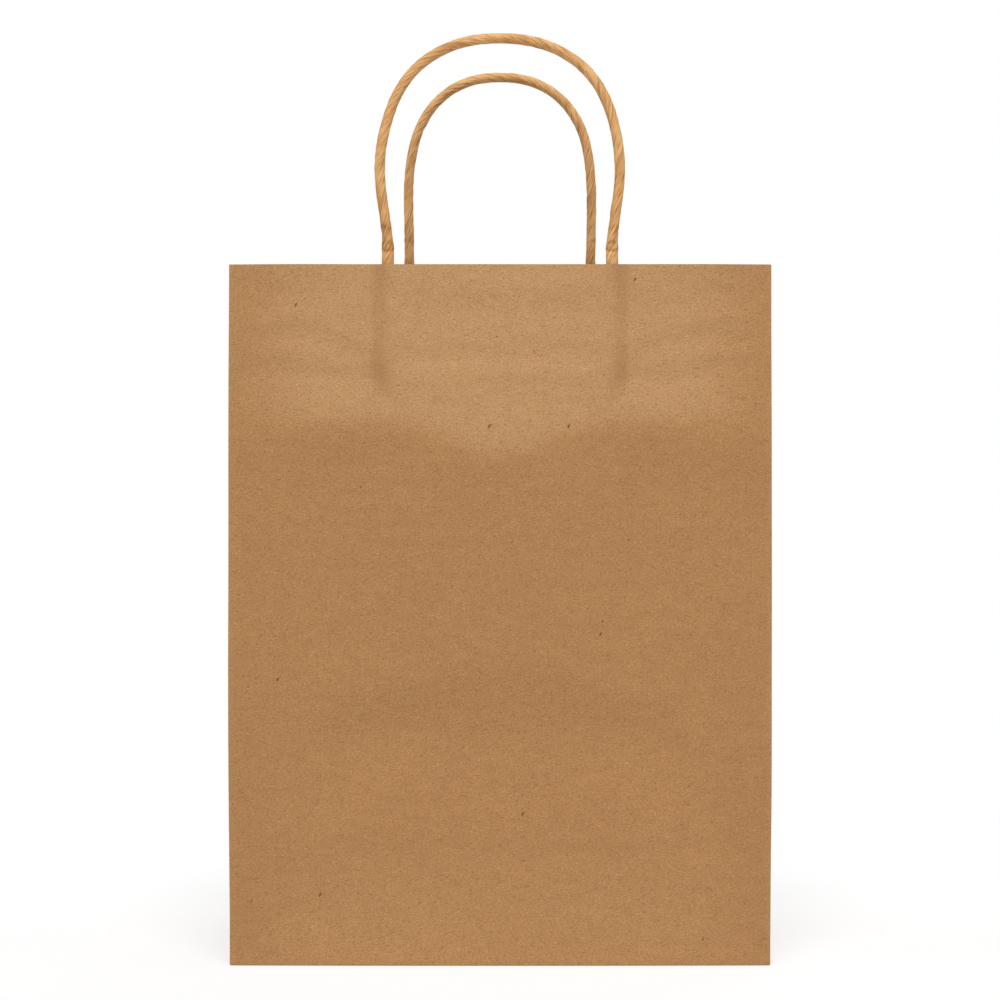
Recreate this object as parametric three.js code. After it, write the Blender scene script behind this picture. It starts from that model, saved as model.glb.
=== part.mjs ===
// Brown kraft paper carrier bag, standing open: one folded and glued sheet, two handles
// of twisted paper cord, and the paper strips that glue each handle inside its panel.
// Millimetres, +Z up. The bag stands on z = 0, and its front panel faces -Y.
import * as THREE from "three";
import { LoftGeometry } from "three/addons/geometries/LoftGeometry.js";
import { mergeGeometries } from "three/addons/utils/BufferGeometryUtils.js";

// Paper and glue
const paperThickness = 0.2;
const glueGap = 0.1;

// Bag, as it is folded from the flat sheet
const bagWidth = 205;
const bagDepth = 120;
const bagHeight = 265;
const hemDepth = 60; // top edge turned in and glued
const baseLayers = 3; // flaps that lie on each other in the folded base
const seamWidth = 20; // glued overlap that closes the sheet, on the back panel
const seamInset = 14; // from the corner crease to that overlap

// How the opened bag stands
const apexInset = 3; // gusset crease, at the tip of the base triangle
const rimInset = 24; // gusset crease, at the rim
const panelBulge = 8; // middle of a panel in front of its corners, at the hem
const rimBow = 4; // the same, at the rim

// Handles, with heights above the rim and widths between the middles of the cord
const cordDiameter = 4;
const pressedThickness = 3.2; // the ends are pressed flat between the strips
const crimpHeight = 5; // end of the pressed length, where the cord turns upright
const crimpLength = 8; // from there until the cord is round again
const frontHandle = { side: -1, legSpacing: 85, spread: 91, shoulder: 36, rise: 85.3, squareness: 2.3 };
const rearHandle = { side: 1, legSpacing: 75.6, spread: 77, shoulder: 34, rise: 88.6, squareness: 2.45 };

// Strips that hold a handle: the cord lies between a base strip and a cover strip
const patchWidth = 152;
const patchHeight = 45;
const patchDrop = 3; // from the rim to the strips
const cordEndMargin = 6; // from a cord's end to the strips' lower edge
const coverSlope = 4; // width of the cover's rise on each side of a cord

// Fineness of the facets
const panelSteps = 20;
const gussetSteps = 8;
const wallSteps = 4;
const hemSteps = 4;
const legSteps = 4;
const archSteps = 10;
const cordSteps = 48;
const cordSides = 10;
const patchSteps = 4;

// Finishes
const kraftPaper = { color: 0xae8154, roughness: 0.8, metalness: 0 };
const stripPaper = { color: 0xb68c5e, roughness: 0.85, metalness: 0 };
const twistedPaper = { color: 0xcb9a5f, roughness: 0.75, metalness: 0 };

const halfWidth = bagWidth / 2;
const halfDepth = bagDepth / 2; // also the height of the base triangle in each gusset
const hemLine = bagHeight - hemDepth;
const baseThickness = baseLayers * paperThickness;

// Depths behind the outer face of a panel
const baseStripSeat = 2 * paperThickness + glueGap;
const cordSeat = baseStripSeat + paperThickness + glueGap;
const cordAxisDepth = cordSeat + pressedThickness / 2;
const coverOverCord = cordSeat + pressedThickness + glueGap;

// The pressed end keeps the length of the round cord's outline
const pressedWidth = 2 * Math.sqrt(cordDiameter ** 2 / 2 - pressedThickness ** 2 / 4);

const { clamp, lerp, mapLinear, smoothstep } = THREE.MathUtils;

function steps(from, to, count) {
  return Array.from({ length: count + 1 }, (_, i) => lerp(from, to, i / count));
}

// Inset of the crease down the middle of each gusset
function creaseInset(z) {
  if (z < halfDepth) return apexInset * z / halfDepth;
  return mapLinear(z, halfDepth, bagHeight, apexInset, rimInset);
}

// Inset of a gusset at y: two flat leaves, and below them the upright base triangle
function gussetInset(y, z) {
  const fromCorner = Math.max(0, 1 - Math.abs(y) / halfDepth);
  if (z < halfDepth) return apexInset * Math.min(fromCorner, z / halfDepth);
  return creaseInset(z) * fromCorner;
}

// How far a panel bows out in front of its two corner creases
function panelBow(x, z) {
  const across = 1 - (x / halfWidth) ** 2;
  if (z > hemLine) return across * mapLinear(z, hemLine, bagHeight, panelBulge, rimBow);
  return across * panelBulge * Math.sin(Math.PI / 2 * z / hemLine);
}

// Distance from the middle of the bag to a panel, less as the gussets fold in
function panelDistance(x, z) {
  return Math.sqrt(halfDepth ** 2 - creaseInset(z) ** 2) + panelBow(x, z);
}

// A point of the square folded box, moved to where it is on the standing bag
function standing(x, y, z) {
  const side = x * (1 - gussetInset(y, z) / halfWidth);
  return new THREE.Vector3(side, y / halfDepth * panelDistance(x, z), z);
}

// A point behind the outer face of the front panel (side -1) or the back panel (side 1)
function onPanel(side, x, z, depth) {
  return new THREE.Vector3(x, side * (1 - depth / halfDepth) * panelDistance(x, z), z);
}

// Turns a surface over, so that its faces point the other way
function turnedOver(geometry) {
  const { index } = geometry;
  for (let i = 0; i < index.count; i += 3) {
    const second = index.getX(i + 1);
    index.setX(i + 1, index.getX(i + 2));
    index.setX(i + 2, second);
  }
  return geometry;
}

function paperBag() {
  const seamEnd = halfWidth - seamInset;
  const seamStart = seamEnd - seamWidth;
  const seamEdges = [seamStart - paperThickness, seamStart, seamEnd, seamEnd + paperThickness];
  const across = [...steps(-halfWidth, halfWidth, panelSteps), ...seamEdges].sort((a, b) => a - b);
  const along = steps(-1, 1, gussetSteps).slice(1, -1);

  // Outline of the square box, counter-clockwise from above, the front panel first
  function outline(inset, seamRaise = 0) {
    const shrink = 1 - inset / halfWidth;
    const depth = halfDepth - inset;
    const raise = (x) => (x >= seamStart && x <= seamEnd ? seamRaise : 0);
    const front = across.map((x) => [x * shrink, -depth]);
    const right = along.map((share) => [halfWidth * shrink, share * depth]);
    const back = across.toReversed().map((x) => [x * shrink, depth + raise(x)]);
    const left = along.toReversed().map((share) => [-halfWidth * shrink, share * depth]);
    return [...front, ...right, ...back, ...left];
  }

  function turn(inset, z, seamRaise) {
    return outline(inset, seamRaise).map(([x, y]) => standing(x, y, z));
  }

  // The base closes on its middle fold line, with its corners folded at 45 degrees
  function foldLine(inset, z) {
    return outline(inset).map(([x]) => new THREE.Vector3(x * (1 - bagDepth / bagWidth), 0, z));
  }

  const triangleHeights = steps(0, halfDepth, gussetSteps / 2);
  const wallHeights = steps(halfDepth, hemLine, wallSteps).slice(1);
  const hemHeights = steps(hemLine, bagHeight, hemSteps);
  const outside = [...triangleHeights, ...wallHeights, ...hemHeights.slice(1)];
  const inside = [baseThickness, ...triangleHeights.slice(1), ...wallHeights];

  const outer = outside.map((z) => turn(0, z, paperThickness));
  const inner = inside.map((z) => turn(paperThickness, z));
  const hem = hemHeights.map((z) => turn(2 * paperThickness, z));
  const underside = foldLine(0, 0);
  const floor = foldLine(paperThickness, baseThickness);

  // Both faces of the sheet are lofted upwards, so that their facets lie alike
  const outerFace = new LoftGeometry([underside, ...outer], { closed: true });
  const innerFace = new LoftGeometry([floor, ...inner, ...hem], { closed: true });
  const rim = new LoftGeometry([outer.at(-1), hem.at(-1)], { closed: true });
  return mergeGeometries([outerFace, turnedOver(innerFace), rim]);
}

// Middle line of a handle, from one pressed end over the arch to the other
function handleLine({ side, legSpacing, spread, shoulder, rise, squareness }) {
  const leg = legSpacing / 2;
  const reach = patchDrop + patchHeight - cordEndMargin;
  const pressed = steps(bagHeight - reach, bagHeight + crimpHeight, legSteps)
    .map((z) => onPanel(side, leg, z, cordAxisDepth));
  const plane = pressed.at(-1).y;

  const rising = steps(crimpHeight, shoulder, legSteps).slice(1).map((height) => {
    const x = lerp(leg, spread / 2, smoothstep(height, crimpHeight, shoulder));
    return new THREE.Vector3(x, plane, bagHeight + height);
  });
  const arch = steps(0, Math.PI / 2, archSteps).slice(1).map((angle) => {
    const x = spread / 2 * Math.cos(angle) ** (2 / squareness);
    const height = lerp(shoulder, rise, Math.sin(angle) ** (2 / squareness));
    return new THREE.Vector3(x, plane, bagHeight + height);
  });

  const half = [...pressed, ...rising, ...arch];
  half.at(-1).x = 0;
  const otherHalf = half.slice(0, -1).toReversed().map((p) => new THREE.Vector3(-p.x, p.y, p.z));
  return new THREE.CatmullRomCurve3([...half, ...otherHalf]);
}

function handleCord(handle) {
  const line = handleLine(handle);
  const throughPanel = new THREE.Vector3(0, 1, 0);
  const angles = steps(0, 2 * Math.PI, cordSides).slice(0, -1);

  const sections = steps(0, 1, cordSteps).map((share) => {
    const middle = line.getPointAt(share);
    const forward = line.getTangentAt(share);
    const sideways = new THREE.Vector3().crossVectors(throughPanel, forward).normalize();
    const thick = new THREE.Vector3().crossVectors(forward, sideways);
    const height = middle.z - bagHeight;
    const round = smoothstep(height, crimpHeight, crimpHeight + crimpLength);
    const width = lerp(pressedWidth, cordDiameter, round) / 2;
    const thickness = lerp(pressedThickness, cordDiameter, round) / 2;
    return angles.map((angle) => middle.clone()
      .addScaledVector(sideways, width * Math.cos(angle))
      .addScaledVector(thick, thickness * Math.sin(angle)));
  });
  return new LoftGeometry(sections, { closed: true, capStart: true, capEnd: true });
}

// Places across a strip: its edges, its middle, and the rise on each side of both cord ends
function stripStations({ legSpacing }) {
  const leg = legSpacing / 2;
  const crest = pressedWidth / 2;
  const foot = crest + coverSlope;
  const inward = steps(0, leg - foot, patchSteps);
  const outward = steps(leg + foot, patchWidth / 2, patchSteps);
  const half = [...inward, leg - crest, leg + crest, ...outward];
  return [...half.slice(1).toReversed().map((x) => -x), ...half];
}

// A strip of paper on the inside of a panel, at a depth that may change across its width
function patchStrip(handle, depthAt) {
  const { side } = handle;
  const top = bagHeight - patchDrop;
  const heights = steps(top - patchHeight, top, hemSteps);
  const sections = stripStations(handle).map((x) => {
    const near = heights.map((z) => onPanel(side, x, z, depthAt(x)));
    const far = heights.map((z) => onPanel(side, x, z, depthAt(x) + paperThickness));
    return [...far, ...near.toReversed()];
  });
  if (side > 0) sections.reverse();
  return new LoftGeometry(sections, { closed: true, capStart: true, capEnd: true });
}

function baseStrip(handle) {
  return patchStrip(handle, () => baseStripSeat);
}

// The cover lies on the base strip and rises over the two pressed ends of the cord
function coverStrip(handle) {
  return patchStrip(handle, (x) => {
    const offCord = Math.abs(Math.abs(x) - handle.legSpacing / 2);
    const fall = (offCord - pressedWidth / 2) / coverSlope;
    return lerp(coverOverCord, cordSeat, clamp(fall, 0, 1));
  });
}

function piece(name, geometry, finish) {
  const mesh = new THREE.Mesh(geometry, new THREE.MeshStandardMaterial(finish));
  mesh.name = name;
  return mesh;
}

const carrierBag = new THREE.Group();
carrierBag.add(piece("paper_bag", paperBag(), kraftPaper));
for (const [place, handle] of [["front", frontHandle], ["rear", rearHandle]]) {
  carrierBag.add(piece(`${place}_handle_cord`, handleCord(handle), twistedPaper));
  carrierBag.add(piece(`${place}_patch_base_strip`, baseStrip(handle), stripPaper));
  carrierBag.add(piece(`${place}_patch_cover_strip`, coverStrip(handle), stripPaper));
}

export default carrierBag;
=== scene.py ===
import math

import bmesh
import bpy
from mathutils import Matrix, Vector, noise


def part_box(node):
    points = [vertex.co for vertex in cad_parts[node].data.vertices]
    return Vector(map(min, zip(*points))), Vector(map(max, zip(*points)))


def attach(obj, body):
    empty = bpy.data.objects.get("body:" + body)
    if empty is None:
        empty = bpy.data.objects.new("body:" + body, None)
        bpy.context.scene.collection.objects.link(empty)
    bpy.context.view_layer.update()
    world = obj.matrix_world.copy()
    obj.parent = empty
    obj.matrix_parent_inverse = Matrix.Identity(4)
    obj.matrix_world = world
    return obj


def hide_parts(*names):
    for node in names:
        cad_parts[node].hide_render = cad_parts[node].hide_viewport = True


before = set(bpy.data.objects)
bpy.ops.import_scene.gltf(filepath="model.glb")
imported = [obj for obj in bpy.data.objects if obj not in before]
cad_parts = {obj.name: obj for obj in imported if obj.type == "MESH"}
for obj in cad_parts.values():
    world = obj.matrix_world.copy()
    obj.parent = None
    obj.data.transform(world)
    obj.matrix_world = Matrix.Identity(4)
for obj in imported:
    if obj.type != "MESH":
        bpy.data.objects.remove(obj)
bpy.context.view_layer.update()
toMetres = 0.001  # pieces are shaped in millimetres
print("frame loaded:", sorted(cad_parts))


# Small number helpers

def clampUnit(value):
    return min(1.0, max(0.0, value))


def mix(start, end, share):
    return start + (end - start) * share


def ease(start, end, value):  # 0 before start, 1 after end, soft between
    share = clampUnit((value - start) / (end - start))
    return share * share * (3 - 2 * share)


def hump(centre, spread, value):
    return math.exp(-((value - centre) / spread) ** 2)


def fold(distance, width):  # a small step in the paper that eases back on both sides
    share = distance / width
    return share * math.exp(-share * share)


def along(points, value):  # height of a line through points, given as (value, height)
    for (a, heightA), (b, heightB) in zip(points, points[1:]):
        if value <= b:
            return mix(heightA, heightB, ease(a, b, value))
    return points[-1][1]


def softMin(first, second, blend):
    share = clampUnit(0.5 + 0.5 * (second - first) / blend)
    return mix(second, first, share) - blend * share * (1 - share)


def wander(a, b, c, size):  # smooth noise, about -1 to 1
    return noise.noise(Vector((a, b, c)) / size)


# Camera, level with the middle of the bag and its handles together

view = {
    "distance": 1111.5,  # from the lens to the middle of the bag
    "height": 175.75,
    "focal": 2788,  # in pixels of the image
    "image": 1000,
    "sensor": 36,
    "nearest": 10,
}


def makeCamera():
    data = bpy.data.cameras.new("camera")
    data.sensor_width = view["sensor"]
    data.lens = view["focal"] / view["image"] * view["sensor"]
    data.clip_start = view["nearest"] * toMetres
    camera = bpy.data.objects.new("camera", data)
    camera.location = Vector((0, -view["distance"], view["height"])) * toMetres
    camera.rotation_euler = (math.pi / 2, 0, 0)
    bpy.context.scene.collection.objects.link(camera)
    bpy.context.scene.camera = camera
    print("camera set")


# Shader sockets, wrapped so that maths on them reads as an expression

class Wire:
    def __init__(self, tree, socket=None):
        self.tree = tree
        self.socket = socket

    def node(self, kind, inputs=None, out=0, **settings):
        made = self.tree.nodes.new(kind)
        for key, value in settings.items():
            setattr(made, key, value)
        for key, value in (inputs or {}).items():
            if isinstance(value, Wire):
                self.tree.links.new(value.socket, made.inputs[key])
            else:
                made.inputs[key].default_value = value
        return Wire(self.tree, made.outputs[out] if made.outputs else None)

    def math(self, operation, first, second=0.0):
        return self.node("ShaderNodeMath", {0: first, 1: second}, operation=operation)

    def __add__(self, other):
        return self.math("ADD", self, other)

    def __sub__(self, other):
        return self.math("SUBTRACT", self, other)

    def __rsub__(self, other):
        return self.math("SUBTRACT", other, self)

    def __mul__(self, other):
        return self.math("MULTIPLY", self, other)

    __radd__ = __add__
    __rmul__ = __mul__

    def soft(self, low, high):  # 0 below low, 1 above high
        inputs = {"Value": self, "From Min": low, "From Max": high}
        return self.node("ShaderNodeMapRange", inputs, interpolation_type="SMOOTHSTEP")

    def tint(self, under, over, blend="MIX"):  # this value mixes one colour over another
        inputs = {0: self, 6: under, 7: over}
        return self.node("ShaderNodeMix", inputs, 2, data_type="RGBA", blend_type=blend)

    def attribute(self, name):
        return self.node("ShaderNodeAttribute", out=2, attribute_name=name)

    def noise(self, scale, detail=2.0, rough=0.5):
        inputs = {"Vector": self, "Scale": scale, "Detail": detail, "Roughness": rough}
        return self.node("ShaderNodeTexNoise", inputs)

    def stretched(self, times, turn=0.0):  # a pattern drawn out along a turned axis
        inputs = {"Vector": self, "Scale": times, "Rotation": (0, 0, turn)}
        return self.node("ShaderNodeMapping", inputs, vector_type="TEXTURE")


def srgb(red, green, blue):
    def linear(value):
        value /= 255
        return value / 12.92 if value <= 0.04045 else ((value + 0.055) / 1.055) ** 2.4
    return (linear(red), linear(green), linear(blue), 1.0)


def newMaterial(name):
    material = bpy.data.materials.new(name)
    material.use_nodes = True
    material.node_tree.nodes.clear()
    return material, Wire(material.node_tree)


def finishMaterial(wire, inputs):
    surface = wire.node("ShaderNodeBsdfPrincipled", inputs)
    wire.node("ShaderNodeOutputMaterial", {"Surface": surface})


# Kraft paper

kraft = {
    "body": srgb(171, 125, 77),
    "light": srgb(208, 164, 110),
    "dark": srgb(130, 88, 50),
    "fleck": srgb(92, 58, 29),
    # painted shade beside the pressed cord ends
    "pressed": srgb(148, 104, 62),
    "worn": srgb(196, 153, 103),
    "hem": (1.11, 1.2, 1.34, 1.0),  # painted light: how much lighter the hem band and the base edge are drawn
    "cloud": 30,  # patterns, in cells to a metre
    "mottle": 260,
    "tooth": 1900,
    "grain": 3200,
    "fibre": 900,
    "ragged": (0.0007, 0.0009, 0.0),  # how far the outline of a fleck strays
    "roughness": 0.56,
    "specular": 0.27,
    "bump": 0.3,
    "bumpHeight": 0.0002,
}


def fibres(place, scale, turn):  # short curled strands, lying near one way
    field = place.stretched((4, 1, 1), turn).noise(scale, 1.5)
    strand = 1 - place.math("ABSOLUTE", field - 0.5).soft(0.0, 0.06)
    return strand * place.noise(1.4 * scale, 0).soft(0.5, 0.64)


def flecks(place, scale, size, chance):  # a few cells of a pattern get one dark speck each
    settings = {"voronoi_dimensions": "2D"}
    inputs = {"Vector": place, "Scale": scale, "Randomness": 1.0}
    distance = place.node("ShaderNodeTexVoronoi", inputs, **settings)
    cell = place.node("ShaderNodeTexVoronoi", inputs, 1, **settings)
    luck = place.node("ShaderNodeSeparateColor", {"Color": cell})
    radius = size * scale
    return (1 - distance.soft(0.4 * radius, radius)) * luck.soft(1 - chance, 1.15 - chance)


def kraftPaper(name, lighter=0.0):
    material, wire = newMaterial(name)
    flat = wire.node("ShaderNodeUVMap", uv_map="sheet")
    # glue carries painted shade by the cord ends, hem carries painted light on the hem band and base
    # edge
    crease, glue, hem, shade = (wire.attribute(name) for name in ("crease", "glue", "hem", "shade"))

    cloud = flat.noise(kraft["cloud"], 3)
    mottle = flat.stretched((1.7, 1, 1)).noise(kraft["mottle"], 2)
    tooth = flat.stretched((1.8, 1, 1)).noise(kraft["tooth"], 2, 0.7)
    grain = flat.stretched((1.25, 1, 1), 0.5).noise(kraft["grain"], 1, 0.6)
    strandsLight = fibres(flat, kraft["fibre"], 0.2)
    strandsDark = fibres(flat, kraft["fibre"] - 40, -0.1) + fibres(flat, kraft["fibre"] + 150, 0.5)
    stray = {0: flat.noise(1300, 1), 1: kraft["ragged"]}
    ragged = flat.node("ShaderNodeVectorMath", stray, operation="MULTIPLY")
    specks = flat.node("ShaderNodeVectorMath", {0: flat, 1: ragged}, operation="ADD")
    large = flecks(specks.stretched((2.2, 1, 1), 1.1), 34, 0.00055, 0.4)
    medium = flecks(specks.stretched((2, 1, 1), -0.3), 60, 0.00036, 0.25)
    small = flecks(specks.stretched((1.7, 1, 1), 0.6), 130, 0.0003, 0.25)
    dark = large + medium * 0.8 + small * 0.5

    tone = (tooth - 0.5) * 1.7 + (grain - 0.5) * 1.3 + (mottle - 0.5) * 0.45 + (cloud - 0.5) * 0.22
    colour = tone.soft(0.0, 0.9).tint(kraft["body"], kraft["light"])
    colour = tone.soft(0.0, -0.9).tint(colour, kraft["dark"])
    colour = (strandsLight * 0.28).tint(colour, kraft["light"])
    colour = (strandsDark * 0.45).tint(colour, kraft["dark"])
    # painted light: the hem band and the base edge drawn lighter, for sheen, lean towards the lamp
    # and floor bounce
    colour = (hem + lighter).tint(colour, kraft["hem"], "MULTIPLY")
    # painted shade on the outer side of each cord end and at its top and foot
    colour = (glue * 0.5).tint(colour, kraft["pressed"])
    colour = (crease * (0.1 + 0.45 * tooth.soft(0.35, 0.7))).tint(colour, kraft["worn"])
    colour = (shade * 0.6).tint(colour, kraft["dark"])
    colour = (dark * 0.8).tint(colour, kraft["fleck"])

    height = tooth * 0.7 + grain * 0.4 + strandsLight * 0.2 + mottle * 0.5
    bump = {"Height": height, "Strength": kraft["bump"], "Distance": kraft["bumpHeight"]}
    finishMaterial(wire, {
        "Base Color": colour,
        "Roughness": kraft["roughness"] + (tooth - 0.5) * 0.3 + (mottle - 0.5) * 0.15,
        "Specular IOR Level": kraft["specular"],
        "Normal": wire.node("ShaderNodeBump", bump),
    })
    return material


# Twisted paper cord

twine = {
    "crest": srgb(229, 180, 121),
    "body": srgb(213, 160, 102),
    # darker tone: painted shade in grooves and dents, and the colour of dark strands
    "groove": srgb(152, 99, 50),
    "patch": 70,  # patterns, in cells to a metre
    "strand": 2200,
    "strandLength": 14,  # times its width
    "roughness": 0.55,
    "specular": 0.12,
    "bump": 0.32,
    "bumpHeight": 0.0003,
}


def twistedPaper(name):
    material, wire = newMaterial(name)
    wrapped = wire.node("ShaderNodeUVMap", uv_map="cord")
    groove = wire.attribute("groove")
    patch = wrapped.noise(twine["patch"], 2)
    strands = wrapped.stretched((1, twine["strandLength"], 1)).noise(twine["strand"], 2, 0.55)
    colour = patch.soft(0.35, 0.65).tint(twine["crest"], twine["body"])
    # painted shade in the grooves of the twist and the dents of the crimp
    colour = (groove.soft(0.1, 1.0) * 0.9).tint(colour, twine["groove"])
    colour = (strands.soft(0.52, 0.67) * 0.76).tint(colour, twine["groove"])
    colour = (strands.soft(0.46, 0.33) * 0.8).tint(colour, twine["crest"])
    bump = {"Height": strands, "Strength": twine["bump"], "Distance": twine["bumpHeight"]}
    finishMaterial(wire, {
        "Base Color": colour,
        "Roughness": twine["roughness"] + (strands - 0.5) * 0.25,
        "Specular IOR Level": twine["specular"],
        "Normal": wire.node("ShaderNodeBump", bump),
    })
    return material


def addPiece(name, bm, material, node, sharp=35):
    bmesh.ops.scale(bm, vec=(toMetres,) * 3, verts=bm.verts)
    for face in bm.faces:
        face.smooth = True
    for edge in bm.edges:
        edge.smooth = not edge.is_boundary and edge.calc_face_angle(0) < math.radians(sharp)
    mesh = bpy.data.meshes.new(name)
    bm.to_mesh(mesh)
    bm.free()
    mesh.materials.append(material)
    piece = bpy.data.objects.new(name, mesh)
    bpy.context.scene.collection.objects.link(piece)
    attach(piece, "root")
    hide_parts(node)
    return piece


# The bag: a square folded box, moved to where its paper is on the standing bag

bagLow, bagHigh = (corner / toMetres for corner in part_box("paper_bag"))

bag = {
    "width": bagHigh.x - bagLow.x,
    "height": bagHigh.z,
    "depth": 120,  # each gusset, unfolded
    "hem": 60,  # top edge turned in and glued
    "paper": 0.2,
    "creaseRadius": 0.5,
    "meshStep": 2.4,
    "apexInset": 3,  # gusset crease, at the tip of the base triangle
    "rimInset": 24,  # gusset crease, at the rim
    "bulge": 8,
    "rimBow": 1.6,
    "hemDip": 13,  # the bulge sits lower in the middle of a panel
    "hemDipSpread": 24.5,
    "seamStart": 68.5,
    "seamEnd": 88.5,
    "flapEdge": -11,  # the rear base flap lies over the front one, to here
}
halfWidth = bag["width"] / 2
halfDepth = bag["depth"] / 2
hemLine = bag["height"] - bag["hem"]

frontHandle = {  # leg and spread are half widths; shoulder, rise, tuckAt and kink are above the rim
    "name": "front", "side": -1, "seed": 3.0,
    "leg": 42.5, "spread": 45.9, "shoulder": 36, "rise": 85.9, "squareness": 2.26,
    "tuck": 0.75, "tuckAt": 56, "kink": 14, "creasing": 0.82, "sideFolds": 0.74,
}
rearHandle = {
    "name": "rear", "side": 1, "seed": 21.0,
    "leg": 37.8, "spread": 38.4, "shoulder": 34, "rise": 87.2, "squareness": 2.38,
    "tuck": -0.6, "tuckAt": 68, "kink": 18.5, "creasing": 0.8, "sideFolds": 0.45,
}
relief = {  # how far the paper stands in or out of its smooth shape
    "broadCockle": 0.42,
    "midCockle": 0.14,
    "fineCockle": 0.22,
    "ridge": 0.35,  # over a pressed cord end
    "upperFold": 0.56,  # between the legs of a handle
    "lowerFold": 0.8,
    "puff": 0.7,  # outside the legs, at the hem
    "flare": 1.2,  # outside the legs, at the rim
    "sag": 1.6,  # across the front, below the middle
    "foot": 0.25,
    "backCrease": 0.5,
    "backDent": 0.56,
    "leafBow": 1.1,  # on the gussets
    "leafBuckle": 0.9,
    "leafCrease": 0.3,
    "leafOldCrease": 0.25,
}


def creaseInset(z):
    if z < halfDepth:
        return bag["apexInset"] * z / halfDepth
    return mix(bag["apexInset"], bag["rimInset"], (z - halfDepth) / (bag["height"] - halfDepth))


def gussetInset(y, z):  # two leaves that fold in, above the upright base triangle
    fromCorner = max(0, 1 - math.hypot(y, bag["creaseRadius"]) / halfDepth)
    if z < halfDepth:
        return bag["apexInset"] * softMin(fromCorner, z / halfDepth, 0.04)
    return creaseInset(z) * fromCorner


def hemPeak(x):  # height where a panel stands out furthest
    return hemLine + 1 - bag["hemDip"] * hump(0, bag["hemDipSpread"], x)


def panelBow(x, z):
    across = 1 - abs(x / halfWidth) ** 2.6
    peak = hemPeak(x)
    below = bag["bulge"] * (z / peak) ** 1.3
    above = mix(bag["bulge"], bag["rimBow"], (z - peak) / (bag["height"] - peak))
    foot = clampUnit(1 - z / 60) ** 2
    return across * (softMin(below, above, 1.6) + foot)


def panelCockle(x, z, seed):  # paper that has been glued and folded is never quite flat
    free = ease(0, 16, halfWidth - abs(x)) * ease(0, 14, z)
    broad = relief["broadCockle"] * wander(x, z, seed, 75)
    middling = relief["midCockle"] * wander(x * 0.6, z, seed + 9, 24)
    fine = relief["fineCockle"] * wander(x * 0.35, z, seed + 5, 11)
    return free * (broad + middling + fine)


# Two folds outside each leg, as (distance from the middle, height)
upperFold = [(45, 231), (58, 234), (66, 240), (80, 242), (91, 239), (103, 238)]
lowerFold = [(45, 226), (58, 223.5), (71, 226), (85, 228.5), (98, 229), (103, 229)]


def handleRelief(handle, x, z):  # the pressed cord ends push the paper out, and it folds around them
    leg = handle["leg"]
    ridge = relief["ridge"] * hump(leg, 4.2, abs(x)) * ease(216, 226, z)
    inner = ease(0, 10, leg - abs(x))
    outer = ease(0, 8, abs(x) - leg) * ease(0, 14, halfWidth - abs(x))
    sway = 1.6 * wander(x, handle["seed"], 8.0, 17)
    middle = relief["upperFold"] * fold(z - 253 - sway, 6)
    middle -= relief["lowerFold"] * fold(z - 227 + sway, 4.6)
    shift = abs(x) - leg + frontHandle["leg"]
    tilt = 1.5 * wander(math.copysign(50, x), handle["seed"], 2.0, 13)
    uneven = handle["sideFolds"] + 0.35 * wander(x, z, handle["seed"] + 6, 20)
    sides = fold(z - along(upperFold, shift) - tilt, 5)
    sides += fold(z - along(lowerFold, shift) + tilt, 5)
    puff = relief["puff"] * hump(leg + 16, 17, abs(x)) * hump(203, 8, z)
    flare = relief["flare"] * hump(leg + 34, 17, abs(x)) * ease(252, 268, z)
    return ridge + inner * middle + outer * uneven * sides + puff + flare


def frontRelief(x, z):
    reach = ease(73, 60, abs(x) + 2 * wander(z, 4.0, 1.0, 8))
    top = mix(114, 101, ease(0, 66, abs(x)))
    bottom = 88.5 + 0.7 * wander(x, 6.0, 1.0, 22)
    sag = clampUnit((top - z) / (top - bottom))
    if z < bottom:
        sag *= ease(46, bottom, z)
    foot = fold(z - 46 + 2 * hump(0, 30, x), 3.5) * ease(92, 70, abs(x))
    return handleRelief(frontHandle, x, z) - relief["sag"] * reach * sag + relief["foot"] * foot


def backRelief(x, z):
    crease = hump(halfDepth, 1.6, z)  # the base was folded up here when the bag lay flat
    dent = hump(128 + 0.1 * x, 16, z) * hump(-20, 42, x)
    folded = relief["backCrease"] * crease + relief["backDent"] * dent
    return handleRelief(rearHandle, x, z) - folded


def panelRelief(side, x, z):
    if side < 0:
        return panelCockle(x, z, 2.0) + frontRelief(x, z)
    return panelCockle(x, z, 40.0) + backRelief(x, z)


def panelDistance(side, x, z):
    return math.sqrt(halfDepth ** 2 - creaseInset(z) ** 2) + panelBow(x, z) + panelRelief(side, x, z)


def seamStep(side, x):  # the outer layer of the glued seam, on the back only
    if side < 0:
        return 0.0
    rise = ease(bag["seamStart"] - 0.12, bag["seamStart"] + 0.12, x)
    return bag["paper"] * rise * ease(bag["seamEnd"] + 3, bag["seamEnd"], x)


def gussetRelief(y, z, seed):
    free = ease(0, 12, halfDepth - abs(y)) * ease(2, 14, z)
    leaf = abs(y) / halfDepth
    bowed = relief["leafBow"] * math.sin(math.pi * leaf) * ease(halfDepth, 150, z)
    waves = 0.5 * wander(y, z, seed, 52) + 0.22 * wander(y, z, seed + 4, 21)
    waves += 0.07 * wander(y, z * 0.5, seed + 8, 8)
    buckle = relief["leafBuckle"] * hump(halfDepth + 14, 11, z) * hump(15, 12, abs(y))
    buckle *= 0.6 + 0.8 * wander(y, seed, 5.0, 40)
    crease = hump(halfDepth, 1.6, z) * ease(-4, 6, y)
    oldCrease = hump(0, 1.2, y) * ease(-2, 8, halfDepth - z)
    folded = relief["leafCrease"] * crease + relief["leafOldCrease"] * oldCrease
    return free * (bowed + waves - buckle) - folded


def sideLine(side, z):  # how far a side stands out of the square box
    swell = -0.5 + 0.75 * ease(0, 120, z) + 0.2 * ease(120, 262, z)
    return swell + 0.2 * wander(side * 30, z, 7.0, 55) * ease(0, 25, z)


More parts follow.
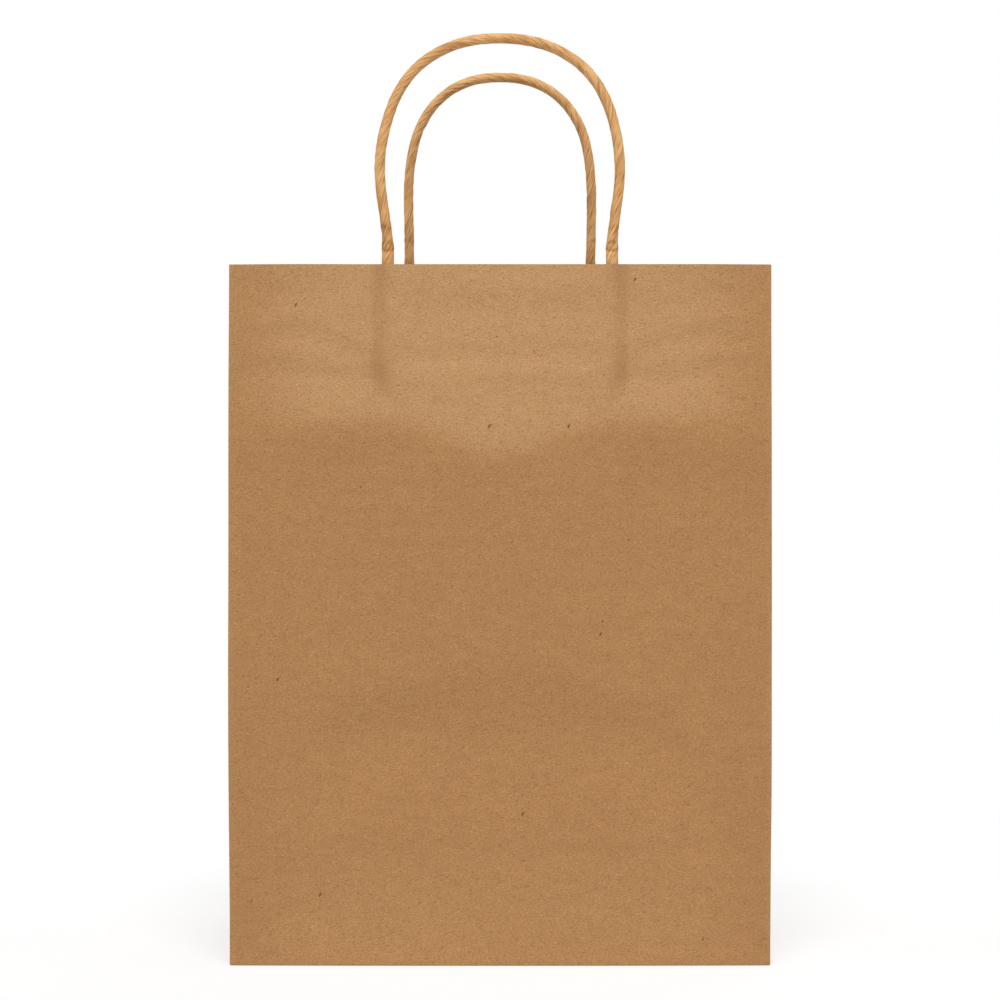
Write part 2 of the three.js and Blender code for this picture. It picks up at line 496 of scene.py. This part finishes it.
def baseLift(x, y):  # rear flap outermost, then the front flap, then the folded ends
    slant = halfWidth - halfDepth - abs(x)
    onRear = ease(-0.15, 0.15, y - bag["flapEdge"]) * ease(-0.15, 0.15, slant + y)
    onFront = ease(-0.15, 0.15, slant - y)
    return bag["paper"] * (1 - onRear) * (2 - onFront)


def standing(x, y, z):
    outX, sideX = x / halfWidth, math.copysign(1, x)
    isSide = abs(x) > halfWidth - bag["creaseRadius"] and z > 0
    place = Vector((x, y, z + baseLift(x, y) * ease(3, 0, z)))
    place.x += outX * (sideLine(sideX, z) - gussetInset(y, z))
    if isSide:
        place.x += sideX * gussetRelief(y, z, 60 + 25 * sideX)
        place.y *= math.sqrt(1 - (creaseInset(z) / halfDepth) ** 2)
    else:
        side = math.copysign(1, y)
        place.y *= (panelDistance(side, x, z) + seamStep(side, x)) / halfDepth
    return place


def cut(bm, chosen, point, normal):
    faces = [face for face in bm.faces if chosen(face.calc_center_median())]
    edges = dict.fromkeys(edge for face in faces for edge in face.edges)
    verts = dict.fromkeys(vert for face in faces for vert in face.verts)
    bmesh.ops.bisect_plane(
        bm, geom=[*verts, *edges, *faces], dist=0.02, plane_co=point, plane_no=normal)


def divide(bm, axis, step):  # cuts every long edge along one axis
    def isLong(edge):
        run = edge.verts[1].co - edge.verts[0].co
        return abs(run[axis]) > 0.9 * run.length and run.length > 4 * step
    edges = [edge for edge in bm.edges if isLong(edge)]
    longest = max(edge.calc_length() for edge in edges)
    bmesh.ops.subdivide_edges(bm, edges=edges, cuts=round(longest / step) - 1)


def putInOrder(elements, place):  # the bevel leaves them in another order each run
    def key(element):
        return [round(value, 3) for value in place(element)]
    for index, element in enumerate(sorted(elements, key=key)):
        element.index = index
    elements.sort()


def sheetPlace(face, point):  # the same point on the sheet before it was folded
    normal = face.normal
    if abs(normal.z) > 0.7:
        return point.x, point.y - bag["depth"]
    if abs(normal.y) >= abs(normal.x):
        return (point.x if normal.y < 0 else bag["width"] + bag["depth"] - point.x), point.z
    turn = halfWidth + halfDepth + point.y
    return (turn if normal.x > 0 else -turn), point.z


def fromFold(x, y):  # along the sheet, to the nearest upright fold
    return max(halfWidth - abs(x), halfDepth - abs(y))


def creaseAmount(x, y, z):  # where the fibres were bent, the paper is a little lighter
    corner = math.hypot(halfWidth - abs(x), halfDepth - abs(y))
    rim = hump(0, 0.5, bag["height"] - z)
    lines = [0.8 * hump(0, 0.7, corner), 0.2 * rim, 0.7 * hump(0, 0.7, z)]
    if abs(x) > halfWidth - bag["creaseRadius"]:
        lines.append(hump(0, 0.7, y))
        lines.append(0.9 * hump(0, 0.7, (halfDepth - abs(y) - z) / math.sqrt(2)))
    if y > 0:
        lines.append(0.9 * hump(halfDepth, 0.7, z))
    return max(lines) if z > 0.01 else 0.0


def edgeAmount(x, y, z):  # painted shade: thin lines along the cut edges of glued flaps, and a soft band beside the upright folds
    if z < 0.01:
        slant = halfWidth - halfDepth - abs(x)
        rear = hump(0.2, 0.35, bag["flapEdge"] - y) * ease(-1, 1, slant + y)
        rearEnd = hump(-0.2, 0.35, slant + y) * ease(-1, 1, y - bag["flapEdge"])
        frontEnd = hump(-0.2, 0.35, slant - y) * ease(1, -1, y)
        return max(rear, rearEnd, frontEnd)
    aside = fromFold(x, y)
    # painted shade beside the upright folds, below the hem and above the lowest few millimetres
    foldShade = 0.15 * ease(32, 0, aside) * mix(0.4, 1, ease(140, 60, z)) * ease(1, 8, z)
    foldShade *= ease(hemLine, hemLine - 20, z)
    foldShade += 0.06 * hump(hemLine - 18, 12, z) * ease(50, 25, aside)
    isBack = y > halfDepth - bag["creaseRadius"]
    seam = 0.8 * hump(bag["seamStart"] - 0.15, 0.35, x) if isBack else 0.0
    return max(seam, foldShade)


def paintedHemLight(x, y, z):  # painted light over the turned-in hem, standing in for its sheen and lean towards the lamp, less near the side folds
    line = hemPeak(x) if abs(y) > halfDepth - 1 else hemLine
    foot = 0.35 * ease(60, 5, z)  # painted light from the floor, near the lower edge
    return (ease(-5, 5, z - line) + foot) * mix(0.1, 1, ease(0, 36, fromFold(x, y)))


def cordShadeAmount(x, y, z):  # painted shade beside and over the cord ends pressed in behind the paper
    if abs(y) < halfDepth - bag["creaseRadius"]:
        return 0.0
    leg = (frontHandle if y < 0 else rearHandle)["leg"] + 2.6
    bend = 4 * ease(224, 212, z)
    aside = abs(x) - leg + bend
    band = ease(-4, -1.6, aside) * ease(4.4, 1.6, aside) * ease(209, 222, z)
    band *= 0.5 + 0.3 * wander(x, z, 3.0, 11)
    spot = hump(leg, 3.2, abs(x)) * (0.8 * hump(224, 4, z) + 0.6 * hump(261, 6, z))
    return clampUnit(band + spot)


def onBase(at):
    return at.z < 0.01


def onBack(at):
    return at.y > halfDepth - 0.01


def onSide(at):
    return abs(at.x) > halfWidth - 0.01


def onRearHalf(at):
    return at.y > 0


def onFrontTriangle(at):
    return onSide(at) and at.y < 0 and at.z < halfDepth


def onRearTriangle(at):
    return onSide(at) and at.y > 0 and at.z < halfDepth


def makeBag(material):
    bm = bmesh.new()
    bmesh.ops.create_cube(bm, size=1)
    bmesh.ops.scale(bm, vec=(bag["width"], bag["depth"], bag["height"]), verts=bm.verts)
    bmesh.ops.translate(bm, vec=(0, 0, bag["height"] / 2), verts=bm.verts)
    top = [face for face in bm.faces if face.normal.z > 0.9]
    bmesh.ops.delete(bm, geom=top, context="FACES_ONLY")
    folds = [edge for edge in bm.edges if not edge.is_boundary]
    bmesh.ops.bevel(
        bm, geom=folds, offset=bag["creaseRadius"], offset_type="OFFSET", segments=3,
        profile=0.5, affect="EDGES", material=-1)
    for axis in range(3):
        divide(bm, axis, bag["meshStep"])

    for shift in (-0.15, 0.15):
        cut(bm, lambda at: True, (0, 0, hemLine + shift), (0, 0, 1))
    for shift in (-0.6, -0.15, 0.15, 0.6):
        cut(bm, onBase, (0, bag["flapEdge"] + shift, 0), (0, 1, 0))
        cut(bm, onBack, (bag["seamStart"] + 0.8 * shift, 0, 0), (1, 0, 0))
        for sideX in (-1, 1):
            for sideY in (-1, 1):
                corner = (sideX * (halfWidth + shift), sideY * halfDepth, 0)
                cut(bm, onBase, corner, (sideX, -sideY, 0))
    for shift in (-1.0, -0.35, 0.35, 1.0):
        cut(bm, onSide, (0, shift, 0), (0, 1, 0))
        cut(bm, onRearHalf, (0, 0, halfDepth + shift), (0, 0, 1))
        cut(bm, onFrontTriangle, (0, -halfDepth + shift, 0), (0, -1, 1))
        cut(bm, onRearTriangle, (0, halfDepth + shift, 0), (0, 1, 1))
    putInOrder(bm.verts, lambda vert: vert.co)
    putInOrder(bm.edges, lambda edge: edge.verts[0].co + edge.verts[1].co)
    putInOrder(bm.faces, lambda face: face.calc_center_median())

    flat = bm.loops.layers.uv.new("sheet")
    for face in bm.faces:
        for loop in face.loops:
            loop[flat].uv = Vector(sheetPlace(face, loop.vert.co)) * toMetres

    crease = bm.verts.layers.float.new("crease")
    # glue holds painted shade beside the cord ends, hem holds painted light
    glue = bm.verts.layers.float.new("glue")
    shade = bm.verts.layers.float.new("shade")
    hem = bm.verts.layers.float.new("hem")
    layers = bm.verts.layers.deform.verify()
    for vert in bm.verts:
        x, y, z = vert.co
        vert[crease] = creaseAmount(x, y, z)
        vert[glue] = cordShadeAmount(x, y, z)
        vert[shade] = edgeAmount(x, y, z)
        vert[hem] = paintedHemLight(x, y, z)
        count = 3 if z < 0.2 else 2 if z > hemLine else 1
        vert[layers][0] = count / 3
        vert.co = standing(x, y, z)

    piece = addPiece("paper_bag_sheet", bm, material, "paper_bag")
    piece.vertex_groups.new(name="layers")
    solidify = piece.modifiers.new("thickness", "SOLIDIFY")
    solidify.thickness = 3 * bag["paper"] * toMetres
    solidify.offset = -1
    solidify.vertex_group = "layers"
    print("bag sheet:", len(piece.data.polygons), "faces")


# Handles: paper twisted into a cord, with its ends pressed flat between two strips

cord = {
    "diameter": 4,
    "pressedThick": 3.2,
    "reach": 42,  # length of each end below the rim
    "crimp": 5,  # above the rim, where the pressed end turns upright
    "crimpLength": 8,
    "pitch": 30,  # one turn of the twist
    "sides": 72,
    "step": 0.7,
}
strip = {
    "width": 152,
    "height": 45,
    "drop": 3,  # from the rim
    "glue": 0.19,
    "slope": 5,  # beside a cord end
    "wrinkle": 0.12,
    "columns": 110,
    "rows": 34,
    "sheetPlace": (900, 60),  # its own stretch of the paper's pattern
}
baseSeat = 2 * bag["paper"] + strip["glue"]
cordSeat = baseSeat + bag["paper"] + strip["glue"]
cordDepth = cordSeat + cord["pressedThick"] / 2
pressedWide = 2 * math.sqrt(cord["diameter"] ** 2 / 2 - cord["pressedThick"] ** 2 / 4)


def behindPanel(side, x, z, depth):
    return Vector((x, side * (panelDistance(side, x, min(z, bag["height"])) - depth), z))


def halfHandle(handle, plane, sideX):  # from a pressed end up to the top of the arch
    rim, shoulder, leg, spread = bag["height"], handle["shoulder"], handle["leg"], handle["spread"]
    power = 2 / handle["squareness"]
    seat = behindPanel(handle["side"], sideX * leg, rim, cordDepth).y
    endSteps, legSteps, archSteps = 48, 40, 60
    half = []
    for i in range(endSteps):
        z = mix(rim - cord["reach"], rim, i / endSteps)
        half.append(behindPanel(handle["side"], sideX * leg, z, cordDepth))
    for i in range(legSteps):
        height = shoulder * i / legSteps
        x = mix(leg, spread, ease(cord["crimp"], shoulder, height))
        y = mix(seat, plane, ease(0, 2 * cord["crimp"], height))
        half.append(Vector((sideX * x, y, rim + height)))
    for i in range(archSteps + 1):
        angle = math.pi / 2 * i / archSteps
        x = spread * math.cos(angle) ** power if i < archSteps else 0
        height = mix(shoulder, handle["rise"], math.sin(angle) ** power)
        half.append(Vector((sideX * x, plane, rim + height)))
    for point in half:  # the arch is a little slacker or fuller than the curve
        tuck = handle["tuck"] * hump(handle["tuckAt"], 14, point.z - rim)
        point.x -= sideX * tuck * ease(0, 20, abs(point.x))
    return half


def handleLine(handle):  # middle line, in even steps, from one pressed end to the other
    side, leg, rim = handle["side"], handle["leg"], bag["height"]
    lean = behindPanel(side, leg, rim, cordDepth) - behindPanel(side, leg, rim - 20, cordDepth)
    plane = behindPanel(side, leg, rim, cordDepth).y + lean.y / 20 * cord["crimp"]
    points = halfHandle(handle, plane, 1) + halfHandle(handle, plane, -1)[-2::-1]
    for point in points:  # a hand-formed handle is not quite even
        loose = ease(4, 30, point.z - rim)
        point.x += 0.5 * loose * wander(point.x, point.z, handle["seed"], 45)
        point.y += 0.9 * loose * wander(point.z, point.x, handle["seed"] + 5, 60)
    return evenSteps(points, cord["step"])


def evenSteps(points, step):
    lengths = [0.0]
    for a, b in zip(points, points[1:]):
        lengths.append(lengths[-1] + (b - a).length)
    count = round(lengths[-1] / step)
    even, at = [], 0
    for i in range(count + 1):
        target = lengths[-1] * i / count
        while at < len(points) - 2 and lengths[at + 1] < target:
            at += 1
        share = (target - lengths[at]) / (lengths[at + 1] - lengths[at])
        even.append(points[at].lerp(points[at + 1], share))
    for _ in range(4):  # takes out the corners between the stretches
        inner = [(even[i - 1] + even[i] * 2 + even[i + 1]) / 4 for i in range(1, count)]
        even = [even[0], *inner, even[-1]]
    return even


def cordWrinkles(handle, distance, turn):  # (radial offset, depth of groove 0 to 1, also drawn as painted shade)
    def folds(radius, reach, shift):
        drift = distance / reach + handle["seed"] + shift
        return noise.noise(Vector((radius * math.cos(turn), radius * math.sin(turn), drift)))
    wide, fine, hair = folds(0.8, 16, 0), folds(2.0, 11, 30), folds(3.6, 8, 60)
    edgeTurn = (turn / (2 * math.pi)) % 1
    edge = hump(0, 0.03, min(edgeTurn, 1 - edgeTurn))  # the outer edge of the rolled paper
    crush = noise.noise(Vector((distance / 24, handle["seed"], 4.0)))
    crushed = 0.8 + 0.4 * ease(-0.25, 0.25, crush)
    lines = 0.55 * hump(0, 0.2, fine) + 0.25 * hump(0, 0.16, hair)
    groove = clampUnit(handle["creasing"] * crushed * lines + 0.25 * edge)
    offset = 0.08 * wide + 0.1 * fine + 0.07 * hair - 0.1 * groove + 0.04 * (edgeTurn - 0.5)
    return offset, groove


def crimpPinch(handle, across, height):  # dents from the pressing, arched across the cord
    lower = hump(cord["crimp"] + 1.1 * across ** 2, 0.6, height)
    upper = hump(cord["crimp"] + 3.5 - 1.1 * across ** 2, 0.6, height)
    extra = hump(handle["kink"] + 0.8 * across, 0.8, height)
    return 0.3 * lower + 0.26 * upper + 0.2 * extra


def makeCord(handle, material):
    line = handleLine(handle)
    rings = len(line) - 1
    length = sum((b - a).length for a, b in zip(line, line[1:]))
    bm = bmesh.new()
    bmesh.ops.create_grid(bm, x_segments=rings, y_segments=cord["sides"], size=0.5)
    uv = bm.loops.layers.uv.new("cord")
    for face in bm.faces:
        for loop in face.loops:
            share = loop.vert.co
            loop[uv].uv = Vector((share.y * math.pi * cord["diameter"], share.x * length)) * toMetres
    grooveShade = bm.verts.layers.float.new("groove")
    for vert in bm.verts:
        place = (vert.co.x + 0.5) * rings
        turn = (vert.co.y + 0.5) * 2 * math.pi
        i = min(rings, max(0, round(place)))
        distance = i / rings * length
        angle = turn + 2 * math.pi * distance / cord["pitch"]  # rows of the mesh follow the twist
        forward = (line[min(rings, i + 1)] - line[max(0, i - 1)]).normalized()
        sideways = Vector((0, 1, 0)).cross(forward).normalized()
        thick = forward.cross(sideways)
        height = line[i].z - bag["height"]
        isRound = ease(cord["crimp"], cord["crimp"] + cord["crimpLength"], height)
        offset, groove = cordWrinkles(handle, distance, turn)
        offset *= mix(0.45, 1, isRound)  # the ends are pressed smooth
        pinch = crimpPinch(handle, math.cos(angle), height)
        wide = mix(pressedWide, cord["diameter"], isRound) / 2 + offset + 0.35 * pinch
        deep = mix(cord["pressedThick"], cord["diameter"], isRound) / 2 + offset - pinch
        # painted shade in the hollow between the two crimp dents, added to the groove shade
        crimpShade = 0.22 * hump(cord["crimp"] + 1.8, 1.6, height)
        vert[grooveShade] = clampUnit(groove + 1.6 * pinch + crimpShade)
        vert.co = line[i] + sideways * wide * math.cos(angle) + thick * deep * math.sin(angle)
    bmesh.ops.remove_doubles(bm, verts=bm.verts, dist=1e-4)
    ends = [edge for edge in bm.edges if edge.is_boundary]
    bmesh.ops.holes_fill(bm, edges=ends, sides=0)
    bmesh.ops.recalc_face_normals(bm, faces=bm.faces)
    name = handle["name"] + "_handle_cord"
    addPiece(handle["name"] + "_twisted_handle", bm, material, name, 70)
    print(name, "is", round(length, 1), "mm long")


def makeStrip(handle, material, kind, depthAt):
    bm = bmesh.new()
    bmesh.ops.create_grid(bm, x_segments=strip["columns"], y_segments=strip["rows"], size=0.5)
    patternX, patternY = strip["sheetPlace"]
    flat = bm.loops.layers.uv.new("sheet")
    for face in bm.faces:
        for loop in face.loops:
            place = Vector((loop.vert.co.x * strip["width"], loop.vert.co.y * strip["height"]))
            loop[flat].uv = (place + Vector((patternX, patternY * handle["side"]))) * toMetres
    middle = bag["height"] - strip["drop"] - strip["height"] / 2
    for vert in bm.verts:
        x = vert.co.x * strip["width"]
        z = middle + vert.co.y * strip["height"]
        vert.co = behindPanel(handle["side"], x, z, depthAt(x, z))
    outward = Vector((0, handle["side"], 0))
    bmesh.ops.recalc_face_normals(bm, faces=bm.faces)
    if sum(face.normal.dot(outward) for face in bm.faces) < 0:
        bmesh.ops.reverse_faces(bm, faces=bm.faces)
    node = f"{handle['name']}_patch_{kind}_strip"
    piece = addPiece(f"{handle['name']}_{kind}_strip_paper", bm, material, node)
    solidify = piece.modifiers.new("thickness", "SOLIDIFY")
    solidify.thickness = bag["paper"] * toMetres
    solidify.offset = -1
    print(piece.name, "seated behind the", handle["name"], "panel")


def makeStrips(handle, material):
    def coverDepth(x, z):  # lies on the base strip and rises over the pressed cord ends
        offCord = abs(abs(x) - handle["leg"]) - pressedWide / 2 + 0.6
        belowEnd = ease(0, 5, bag["height"] - cord["reach"] - z)
        rise = (1 - ease(0, strip["slope"], offCord)) * (1 - belowEnd)
        wrinkle = strip["wrinkle"] * max(0, wander(x, z, handle["seed"] + 70, 9))
        return cordSeat + rise * (cord["pressedThick"] + 0.25) + wrinkle
    makeStrip(handle, material, "base", lambda x, z: baseSeat)
    makeStrip(handle, material, "cover", coverDepth)


# Floor and light

stage = {
    "size": 12,  # in metres, as the reach of the shadow is
    "colour": 0.77,  # for the light that it throws back
    "pale": 0.9,  # as the camera sees it, under the shadow
    "shadowReach": 0.55,
    "shadowShare": 0.38,
}
lamps = {
    "key": {"from": (0.0, -0.46, 0.888), "angle": 30, "strength": 2.66},
    "front": {"from": (0.0, -0.99, 0.1), "angle": 50, "strength": 0.36},
    "rear": {"from": (0.25, 0.93, 0.27), "angle": 50, "strength": 1.1},
    "left": {"from": (-0.97, 0.0, 0.25), "angle": 60, "strength": 0.53},
    "right": {"from": (0.97, 0.0, 0.25), "angle": 60, "strength": 0.53},
}
skyLight = 0.18


def seenDirectly(wire):  # 1 for camera, glossy and transmission rays
    path = [wire.node("ShaderNodeLightPath", out=i) for i in (0, 3, 6)]
    return wire.math("MAXIMUM", wire.math("MAXIMUM", path[0], path[1]), path[2])


def makeStage():
    material, wire = newMaterial("pale_floor")
    matt = wire.node("ShaderNodeBsdfDiffuse", {"Color": (*[stage["colour"]] * 3, 1)})
    pale = wire.node("ShaderNodeBsdfDiffuse", {"Color": (*[stage["pale"]] * 3, 1)})
    white = wire.node("ShaderNodeEmission", {"Color": (1, 1, 1, 1), "Strength": 1.0})
    place = wire.node("ShaderNodeTexCoord", out=3)
    away = place.node("ShaderNodeVectorMath", {0: place}, 1, operation="LENGTH")
    shade = (1 - away.soft(0.1, stage["shadowReach"])) * stage["shadowShare"]
    shown = wire.node("ShaderNodeMixShader", {0: shade, 1: white, 2: pale})
    surface = wire.node("ShaderNodeMixShader", {0: seenDirectly(wire), 1: matt, 2: shown})
    wire.node("ShaderNodeOutputMaterial", {"Surface": surface})
    bm = bmesh.new()
    bmesh.ops.create_grid(bm, x_segments=1, y_segments=1, size=stage["size"] / 2)
    mesh = bpy.data.meshes.new("floor")
    bm.to_mesh(mesh)
    bm.free()
    mesh.materials.append(material)
    floor = bpy.data.objects.new("floor", mesh)
    bpy.context.scene.collection.objects.link(floor)
    print("floor laid")


def makeLight():
    for name, lamp in lamps.items():
        data = bpy.data.lights.new(name, "SUN")
        data.angle = math.radians(lamp["angle"])
        data.energy = lamp["strength"]
        light = bpy.data.objects.new(name, data)
        light.location = lamp["from"]
        light.rotation_euler = (-light.location).to_track_quat("-Z", "Y").to_euler()
        bpy.context.scene.collection.objects.link(light)
    world = bpy.data.worlds.new("studio")
    world.use_nodes = True
    world.node_tree.nodes.clear()
    wire = Wire(world.node_tree)
    dim = wire.node("ShaderNodeBackground", {"Color": (1, 1, 1, 1), "Strength": skyLight})
    white = wire.node("ShaderNodeBackground", {"Color": (1, 1, 1, 1), "Strength": 1.0})
    sky = wire.node("ShaderNodeMixShader", {0: seenDirectly(wire), 1: dim, 2: white})
    wire.node("ShaderNodeOutputWorld", {"Surface": sky})
    bpy.context.scene.world = world
    print("lamps set:", sorted(lamps))


makeCamera()
sheetPaper = kraftPaper("kraft_paper")
stripPaper = kraftPaper("patch_paper", 0.25)
cordPaper = twistedPaper("twisted_paper_cord")
makeBag(sheetPaper)
for handle in (frontHandle, rearHandle):
    makeCord(handle, cordPaper)
    makeStrips(handle, stripPaper)
makeStage()
makeLight()

bpy.context.scene.view_settings.view_transform = "Standard"
